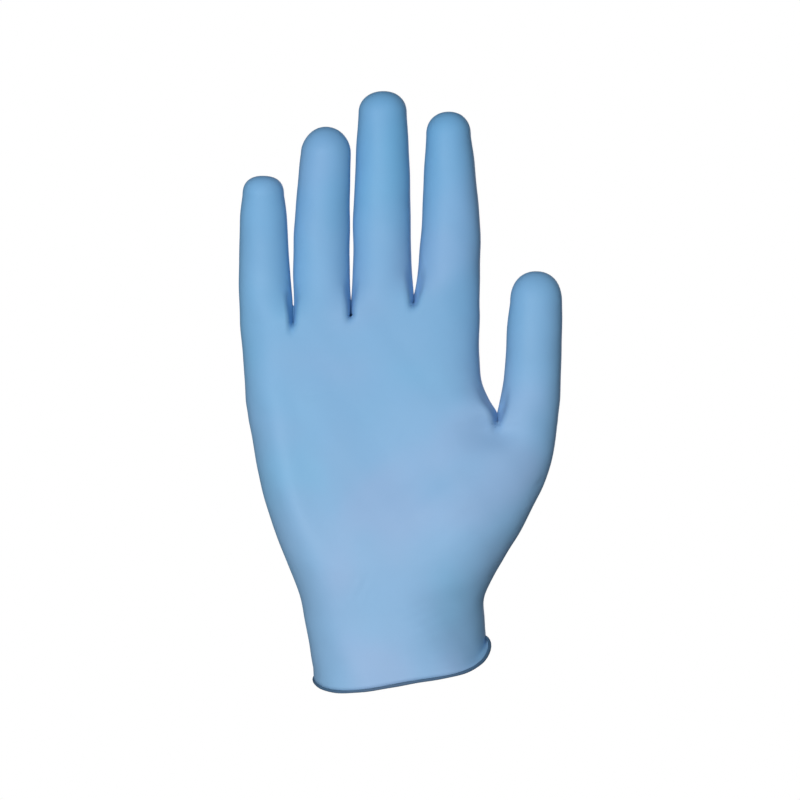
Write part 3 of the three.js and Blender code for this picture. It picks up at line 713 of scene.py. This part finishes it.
def film_finish():
    """The dipped film's finish as a group, at the place that it is given: slow drifts of hue and lightness,
    a deeper tint up the fingers, where the dip leaves more film, a satin mask and a fine grain."""
    name = "Dipped Film"
    if name in bpy.data.node_groups:
        return bpy.data.node_groups[name]
    tree = bpy.data.node_groups.new(name, "ShaderNodeTree")
    sockets = tree.interface
    sockets.new_socket("Place", in_out="INPUT", socket_type="NodeSocketVector")
    for socket in ("Cool", "Middle", "Warm", "Thin", "Thick"):
        sockets.new_socket(socket, in_out="INPUT", socket_type="NodeSocketColor")
    for socket, default in FINISH_INPUTS.items():
        sockets.new_socket(socket, in_out="INPUT", socket_type="NodeSocketFloat").default_value = default
    sockets.new_socket("Color", in_out="OUTPUT", socket_type="NodeSocketColor")
    for socket in ("Roughness", "Height"):
        sockets.new_socket(socket, in_out="OUTPUT", socket_type="NodeSocketFloat")
    given = add_node(tree, "NodeGroupInput", (-900, 0))
    result = add_node(tree, "NodeGroupOutput", (700, 0))
    link = tree.links.new

    hue = add_node(tree, "ShaderNodeTexNoise", (-650, 250), Detail=1.5, Roughness=0.45)
    start = add_node(tree, "ShaderNodeVectorMath", (-850, 250), operation="ADD")
    start.inputs[1].default_value = DRIFT_START
    link(given.outputs["Place"], start.inputs[0])
    link(start.outputs["Vector"], hue.inputs["Vector"])
    link(given.outputs["Drift"], hue.inputs["Scale"])
    low = span_node(tree, (-430, 330), COOL_TO_MIDDLE, interpolation_type="SMOOTHSTEP")
    high = span_node(tree, (-430, 80), MIDDLE_TO_WARM, interpolation_type="SMOOTHSTEP")
    link(hue.outputs["Fac"], low.inputs["Value"])
    link(hue.outputs["Fac"], high.inputs["Value"])
    cool = add_node(tree, "ShaderNodeMix", (-200, 300), data_type="RGBA")
    link(low.outputs["Result"], cool.inputs["Factor"])
    link(given.outputs["Cool"], cool.inputs["A"])
    link(given.outputs["Middle"], cool.inputs["B"])
    warm = add_node(tree, "ShaderNodeMix", (0, 250), data_type="RGBA")
    link(high.outputs["Result"], warm.inputs["Factor"])
    link(cool.outputs["Result"], warm.inputs["A"])
    link(given.outputs["Warm"], warm.inputs["B"])

    height = add_node(tree, "ShaderNodeSeparateXYZ", (-650, 600))
    link(given.outputs["Place"], height.inputs["Vector"])
    rise = span_node(tree, (-430, 600), TINT_HEIGHTS)
    link(height.outputs["Z"], rise.inputs["Value"])
    tint = add_node(tree, "ShaderNodeMix", (-200, 550), data_type="RGBA")
    link(rise.outputs["Result"], tint.inputs["Factor"])
    link(given.outputs["Thin"], tint.inputs["A"])
    link(given.outputs["Thick"], tint.inputs["B"])
    dyed = add_node(tree, "ShaderNodeMix", (150, 400), data_type="RGBA", blend_type="MULTIPLY")
    dyed.inputs["Factor"].default_value = 1.0
    link(warm.outputs["Result"], dyed.inputs["A"])
    link(tint.outputs["Result"], dyed.inputs["B"])

    cloud = add_node(
        tree, "ShaderNodeTexNoise", (-650, -100), Scale=CLOUD_SCALE, Detail=3.0, Roughness=0.55
    )
    link(given.outputs["Place"], cloud.inputs["Vector"])
    swing = add_node(tree, "ShaderNodeMath", (-430, -120), operation="SUBTRACT")
    swing.inputs[1].default_value = 0.5
    link(cloud.outputs["Fac"], swing.inputs[0])
    value = add_node(tree, "ShaderNodeMath", (-230, -80), operation="MULTIPLY_ADD")
    link(swing.outputs[0], value.inputs[0])
    link(given.outputs["Lightness"], value.inputs[1])
    value.inputs[2].default_value = 1.0
    shade = add_node(tree, "ShaderNodeHueSaturation", (250, 200))
    link(dyed.outputs["Result"], shade.inputs["Color"])
    link(value.outputs[0], shade.inputs["Value"])
    link(shade.outputs["Color"], result.inputs["Color"])

    rough = add_node(tree, "ShaderNodeMath", (0, -150), operation="MULTIPLY_ADD")
    link(swing.outputs[0], rough.inputs[0])
    rough.inputs[1].default_value = CLOUD_GLOSS
    link(given.outputs["Gloss"], rough.inputs[2])
    link(rough.outputs[0], result.inputs["Roughness"])

    grain = add_node(tree, "ShaderNodeTexNoise", (-430, -350), Detail=2.0, Roughness=0.6)
    link(given.outputs["Place"], grain.inputs["Vector"])
    link(given.outputs["Grain"], grain.inputs["Scale"])
    pores = add_node(tree, "ShaderNodeTexNoise", (-430, -560), Scale=PORE_SCALE, Detail=1.0)
    link(given.outputs["Place"], pores.inputs["Vector"])
    both = add_node(tree, "ShaderNodeMath", (0, -400), operation="MULTIPLY_ADD")
    link(pores.outputs["Fac"], both.inputs[0])
    both.inputs[1].default_value = PORE_SHARE
    link(grain.outputs["Fac"], both.inputs[2])
    link(both.outputs[0], result.inputs["Height"])
    return tree


def new_material(name):
    """A material with no nodes, which takes the place of an older one of its name."""
    material = bpy.data.materials.get(name) or bpy.data.materials.new(name)
    material.use_nodes = True
    material.node_tree.nodes.clear()
    return material


def film_material(name, cool, middle, warm, roughness, shaded):
    """Satin nitrile: the film's finish on a Principled shader, darker where the shade attribute is 1 as
    painted shade.
    """
    material = new_material(name)
    tree = material.node_tree
    link = tree.links.new
    place = add_node(tree, "ShaderNodeTexCoord", (-900, 0))
    finish = add_node(tree, "ShaderNodeGroup", (-650, 0), node_tree=film_finish())
    link(place.outputs["Object"], finish.inputs["Place"])
    finish.inputs["Cool"].default_value = (*cool, 1)
    finish.inputs["Middle"].default_value = (*middle, 1)
    finish.inputs["Warm"].default_value = (*warm, 1)
    finish.inputs["Thin"].default_value = (*THIN_TINT, 1)
    finish.inputs["Thick"].default_value = (*THICK_TINT, 1)
    finish.inputs["Gloss"].default_value = roughness
    # Painted shade: the colour is multiplied by the shaded colour where the shade attribute is 1.
    shade = add_node(tree, "ShaderNodeAttribute", (-650, 300), attribute_name="shade")
    dark = add_node(tree, "ShaderNodeMix", (-350, 150), data_type="RGBA", blend_type="MULTIPLY")
    dark.inputs["B"].default_value = (*shaded, 1)
    link(shade.outputs["Fac"], dark.inputs["Factor"])
    link(finish.outputs["Color"], dark.inputs["A"])
    bump = add_node(
        tree, "ShaderNodeBump", (-350, -250), Strength=GRAIN_STRENGTH, Distance=GRAIN_HEIGHT
    )
    link(finish.outputs["Height"], bump.inputs["Height"])
    shader = add_node(tree, "ShaderNodeBsdfPrincipled", (0, 0))
    shader.inputs["IOR"].default_value = 1.5
    shader.inputs["Specular IOR Level"].default_value = 0.3
    link(dark.outputs["Result"], shader.inputs["Base Color"])
    link(finish.outputs["Roughness"], shader.inputs["Roughness"])
    link(bump.outputs["Normal"], shader.inputs["Normal"])
    result = add_node(tree, "ShaderNodeOutputMaterial", (300, 0))
    link(shader.outputs["BSDF"], result.inputs["Surface"])
    material.diffuse_color = (*middle, 1)
    return material


def pale_material(name, seen, bounced):
    """A plain pale floor: evenly lit to the eye, plain matt to the light that it sends back, and clear from
    below."""
    material = new_material(name)
    tree = material.node_tree
    link = tree.links.new
    path = add_node(tree, "ShaderNodeLightPath", (-600, 300))
    side = add_node(tree, "ShaderNodeNewGeometry", (-600, -200))
    matt = add_node(tree, "ShaderNodeBsdfDiffuse", (-350, 0))
    matt.inputs["Color"].default_value = (bounced, bounced, bounced, 1)
    even = add_node(tree, "ShaderNodeEmission", (-350, -150))
    even.inputs["Color"].default_value = (*seen, 1)
    eye = add_node(tree, "ShaderNodeMixShader", (-100, 100))
    link(path.outputs["Is Camera Ray"], eye.inputs[0])
    link(matt.outputs[0], eye.inputs[1])
    link(even.outputs[0], eye.inputs[2])
    clear = add_node(tree, "ShaderNodeBsdfTransparent", (-100, -150))
    under = add_node(tree, "ShaderNodeMixShader", (120, 0))
    link(side.outputs["Backfacing"], under.inputs[0])
    link(eye.outputs[0], under.inputs[1])
    link(clear.outputs[0], under.inputs[2])
    result = add_node(tree, "ShaderNodeOutputMaterial", (320, 0))
    link(under.outputs[0], result.inputs["Surface"])
    return material


# The stage. The floor is flat out to its radius and turns up beyond over its edge.
FLOOR_HEIGHT = -0.45
FLOOR_RADIUS = 2.0
FLOOR_EDGE = 1.4
FLOOR_SIDES = 96
FLOOR_RINGS = 10
EDGE_RINGS = 16
MIDDLE_RING = 0.02  # the innermost ring, as a share of the radius
FLOOR_BOUNCE = 0.30  # how much light the floor sends back
CAMERA_DISTANCE = 1.4
CAMERA_HEIGHT = 0.1072
VIEW_WIDTH = 0.32
SENSOR_WIDTH = 0.036
AIM = Vector((0.0, 0.0, 0.11))  # what the lights are turned to
# Soft lights: place, side and colour.
KEY_LIGHT = ((-0.42, -1.36, 0.06), 0.5, (1.0, 0.99, 0.98))
FILL_LIGHT = ((0.35, -2.1, 0.55), 1.2, (0.97, 0.98, 1.0))
BACK_LIGHT = ((0.55, 1.9, 0.50), 1.2, (0.97, 0.98, 1.0))
SKY_COLOR = (0.9, 0.95, 1.0)
SKY_STRENGTH = 0.22


def floor_shape(height, radius, edge):
    """A flat disc with a quarter circle risen round it: rings in even steps out to the radius, and beyond it
    rings at radius + edge sin(a) out and edge (1 - cos(a)) up."""
    turn = np.linspace(0, 2 * math.pi, FLOOR_SIDES, endpoint=False)
    flat = np.linspace(MIDDLE_RING, 1, FLOOR_RINGS) * radius
    rise = np.linspace(0, math.pi / 2, EDGE_RINGS + 1)[1:]
    out = np.r_[flat, radius + edge * np.sin(rise)]
    up = np.r_[0 * flat, edge * (1 - np.cos(rise))] + height
    points = np.stack(
        [out[:, None] * np.cos(turn), out[:, None] * np.sin(turn), up[:, None] + 0 * turn], axis=-1
    )
    ids = np.arange(points[..., 0].size).reshape(points.shape[:2])
    turned = np.roll(ids, -1, axis=1)
    quads = np.stack([ids[:-1], ids[1:], turned[1:], turned[:-1]], axis=-1).reshape(-1, 4)
    points = np.r_[points.reshape(-1, 3), [[0, 0, height]]]
    middle = np.stack([ids[0], turned[0], np.full_like(ids[0], len(points) - 1)], axis=-1)
    return points, quads, middle


def soft_light(name, place, side, color, power):
    """A square soft light at a place, turned to the glove."""
    lamp = bpy.data.lights.new(name, "AREA")
    lamp.shape = "SQUARE"
    lamp.size = side
    lamp.energy = power
    lamp.color = color
    light = new_object(name, lamp)
    light.location = place
    light.visible_camera = False
    light.rotation_euler = (AIM - Vector(place)).to_track_quat("-Z", "Y").to_euler()


class GloveSettings(bpy.types.PropertyGroup):
    """Sizes and colours of the glove"""

    film_thickness: bpy.props.FloatProperty(
        name="Film Thickness",
        description="Thickness of the dipped film",
        default=0.0003,
        min=0.0001,
        max=0.001,
        precision=5,
        unit="LENGTH",
    )
    bead_diameter: bpy.props.FloatProperty(
        name="Bead Diameter",
        description="Thickness of the rolled edge round the cuff",
        default=0.0013,
        min=0.0005,
        max=0.003,
        precision=5,
        unit="LENGTH",
    )
    unevenness: bpy.props.FloatProperty(
        name="Unevenness",
        description="Strength of the film's creases and ripples",
        default=1.0,
        min=0.0,
        max=2.0,
        subtype="FACTOR",
    )
    film_color: bpy.props.FloatVectorProperty(
        name="Film Color",
        description="Colour of the nitrile film",
        default=(0.205, 0.436, 0.690),
        min=0.0,
        max=1.0,
        subtype="COLOR",
    )
    bead_color: bpy.props.FloatVectorProperty(
        name="Bead Color",
        description="Colour of the rolled film in the bead",
        default=(0.052, 0.128, 0.225),
        min=0.0,
        max=1.0,
        subtype="COLOR",
    )
    roughness: bpy.props.FloatProperty(
        name="Roughness",
        description="From glossy at 0 to matt at 1",
        default=0.58,
        min=0.0,
        max=1.0,
        subtype="FACTOR",
    )


class StageSettings(bpy.types.PropertyGroup):
    """Colour of the floor and power of the lights"""

    floor_color: bpy.props.FloatVectorProperty(
        name="Floor Color",
        description="Colour of the pale floor and backdrop",
        default=(1.0, 1.0, 1.0),
        min=0.0,
        max=1.0,
        subtype="COLOR",
    )
    key_power: bpy.props.FloatProperty(
        name="Key Light",
        description="Power of the soft light at the front left",
        default=14.6,
        min=0.0,
        unit="POWER",
    )
    fill_power: bpy.props.FloatProperty(
        name="Fill Light",
        description="Power of the wide light in front of the glove and above it",
        default=8.6,
        min=0.0,
        unit="POWER",
    )
    back_power: bpy.props.FloatProperty(
        name="Back Light",
        description="Power of the wide light behind the glove",
        default=9.0,
        min=0.0,
        unit="POWER",
    )


class AddGloveFilm(bpy.types.Operator):
    """Add the dipped film of the glove"""

    bl_idname = "mesh.add_glove_film"
    bl_label = "Glove Film"
    bl_options = {"REGISTER", "UNDO"}

    def execute(self, context):
        given = context.scene.glove
        points, quads, triangles, inside, _ = film_shape(given.film_thickness, given.unevenness)
        # The inner face is painted darker by the shaded colour, as painted shade inside the glove.
        film = new_piece("glove_film", points, quads, triangles, shade=inside)
        color = np.array(given.film_color)
        film.data.materials.append(
            film_material(
                "Nitrile Film",
                cool=color * (0.90, 1.02, 1.01),
                middle=color,
                warm=color * (1.14, 1.00, 1.00),
                roughness=given.roughness,
                shaded=(0.80, 0.84, 0.88),
            )
        )
        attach(film, "root")
        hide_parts("glove")
        return {"FINISHED"}


class AddCuffBead(bpy.types.Operator):
    """Add the rolled bead round the cuff's rim"""

    bl_idname = "mesh.add_cuff_bead"
    bl_label = "Cuff Bead"
    bl_options = {"REGISTER", "UNDO"}

    def execute(self, context):
        given = context.scene.glove
        points, _, _, _, rim = film_shape(given.film_thickness, given.unevenness)
        points, quads = bead_shape(points, rim, given.bead_diameter)
        bead = new_piece("cuff_bead", points, quads, shade=np.zeros(len(points)))
        color = np.array(given.bead_color)
        bead.data.materials.append(
            film_material(
                "Nitrile Bead",
                cool=color * (0.92, 1.02, 1.02),
                middle=color,
                warm=color * (1.10, 1.00, 1.00),
                roughness=given.roughness,
                shaded=(1.0, 1.0, 1.0),
            )
        )
        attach(bead, "root")
        return {"FINISHED"}


class AddStudioStage(bpy.types.Operator):
    """Add the pale floor, the soft lights and the camera"""

    bl_idname = "scene.add_studio_stage"
    bl_label = "Studio Stage"
    bl_options = {"REGISTER", "UNDO"}

    def execute(self, context):
        given = context.scene.glove_stage
        floor = new_piece("studio_floor", *floor_shape(FLOOR_HEIGHT, FLOOR_RADIUS, FLOOR_EDGE))
        floor.data.materials.append(pale_material("Pale Floor", given.floor_color, FLOOR_BOUNCE))

        soft_light("key_light", *KEY_LIGHT, given.key_power)
        soft_light("fill_light", *FILL_LIGHT, given.fill_power)
        soft_light("back_light", *BACK_LIGHT, given.back_power)

        world = context.scene.world or bpy.data.worlds.new("Studio")
        context.scene.world = world
        world.use_nodes = True
        tree = world.node_tree
        tree.nodes.clear()
        sky = add_node(tree, "ShaderNodeBackground", (0, 0))
        sky.inputs["Color"].default_value = (*SKY_COLOR, 1)
        sky.inputs["Strength"].default_value = SKY_STRENGTH
        white = add_node(tree, "ShaderNodeBackground", (0, -150))
        white.inputs["Color"].default_value = (1, 1, 1, 1)
        path = add_node(tree, "ShaderNodeLightPath", (-200, 200))
        eye = add_node(tree, "ShaderNodeMixShader", (250, 0))
        tree.links.new(path.outputs["Is Camera Ray"], eye.inputs[0])
        tree.links.new(sky.outputs[0], eye.inputs[1])
        tree.links.new(white.outputs[0], eye.inputs[2])
        result = add_node(tree, "ShaderNodeOutputWorld", (450, 0))
        tree.links.new(eye.outputs[0], result.inputs["Surface"])

        lens = bpy.data.cameras.new("camera")
        lens.sensor_width = SENSOR_WIDTH * 1000
        lens.lens = lens.sensor_width * CAMERA_DISTANCE / VIEW_WIDTH
        lens.clip_start = 0.05
        lens.clip_end = 20
        camera = new_object("camera", lens)
        camera.location = (0, -CAMERA_DISTANCE, CAMERA_HEIGHT)
        camera.rotation_euler = (math.pi / 2, 0, 0)
        context.scene.camera = camera
        context.scene.view_settings.view_transform = "Standard"
        return {"FINISHED"}


class ExamGlovePanel(bpy.types.Panel):
    """Sizes, colours and pieces of the exam glove"""

    bl_idname = "VIEW3D_PT_exam_glove"
    bl_label = "Exam Glove"
    bl_space_type = "VIEW_3D"
    bl_region_type = "UI"
    bl_category = "Exam Glove"

    def draw(self, context):
        column = self.layout.column()
        for settings in (context.scene.glove, context.scene.glove_stage):
            for name in settings.__annotations__:
                column.prop(settings, name)
        for operator in OPERATORS:
            column.operator(operator.bl_idname)


OPERATORS = (AddGloveFilm, AddCuffBead, AddStudioStage)
CLASSES = (GloveSettings, StageSettings, *OPERATORS, ExamGlovePanel)


def register():
    """Adds the classes and their settings to Blender."""
    for cls in CLASSES:
        bpy.utils.register_class(cls)
    bpy.types.Scene.glove = bpy.props.PointerProperty(type=GloveSettings)
    bpy.types.Scene.glove_stage = bpy.props.PointerProperty(type=StageSettings)


def unregister():
    """Takes them out again."""
    del bpy.types.Scene.glove_stage
    del bpy.types.Scene.glove
    for cls in reversed(CLASSES):
        bpy.utils.unregister_class(cls)


def main():
    """Makes the pieces and the stage in order."""
    register()
    bpy.ops.mesh.add_glove_film()
    bpy.ops.mesh.add_cuff_bead()
    bpy.ops.scene.add_studio_stage()


if __name__ == "__main__":
    main()
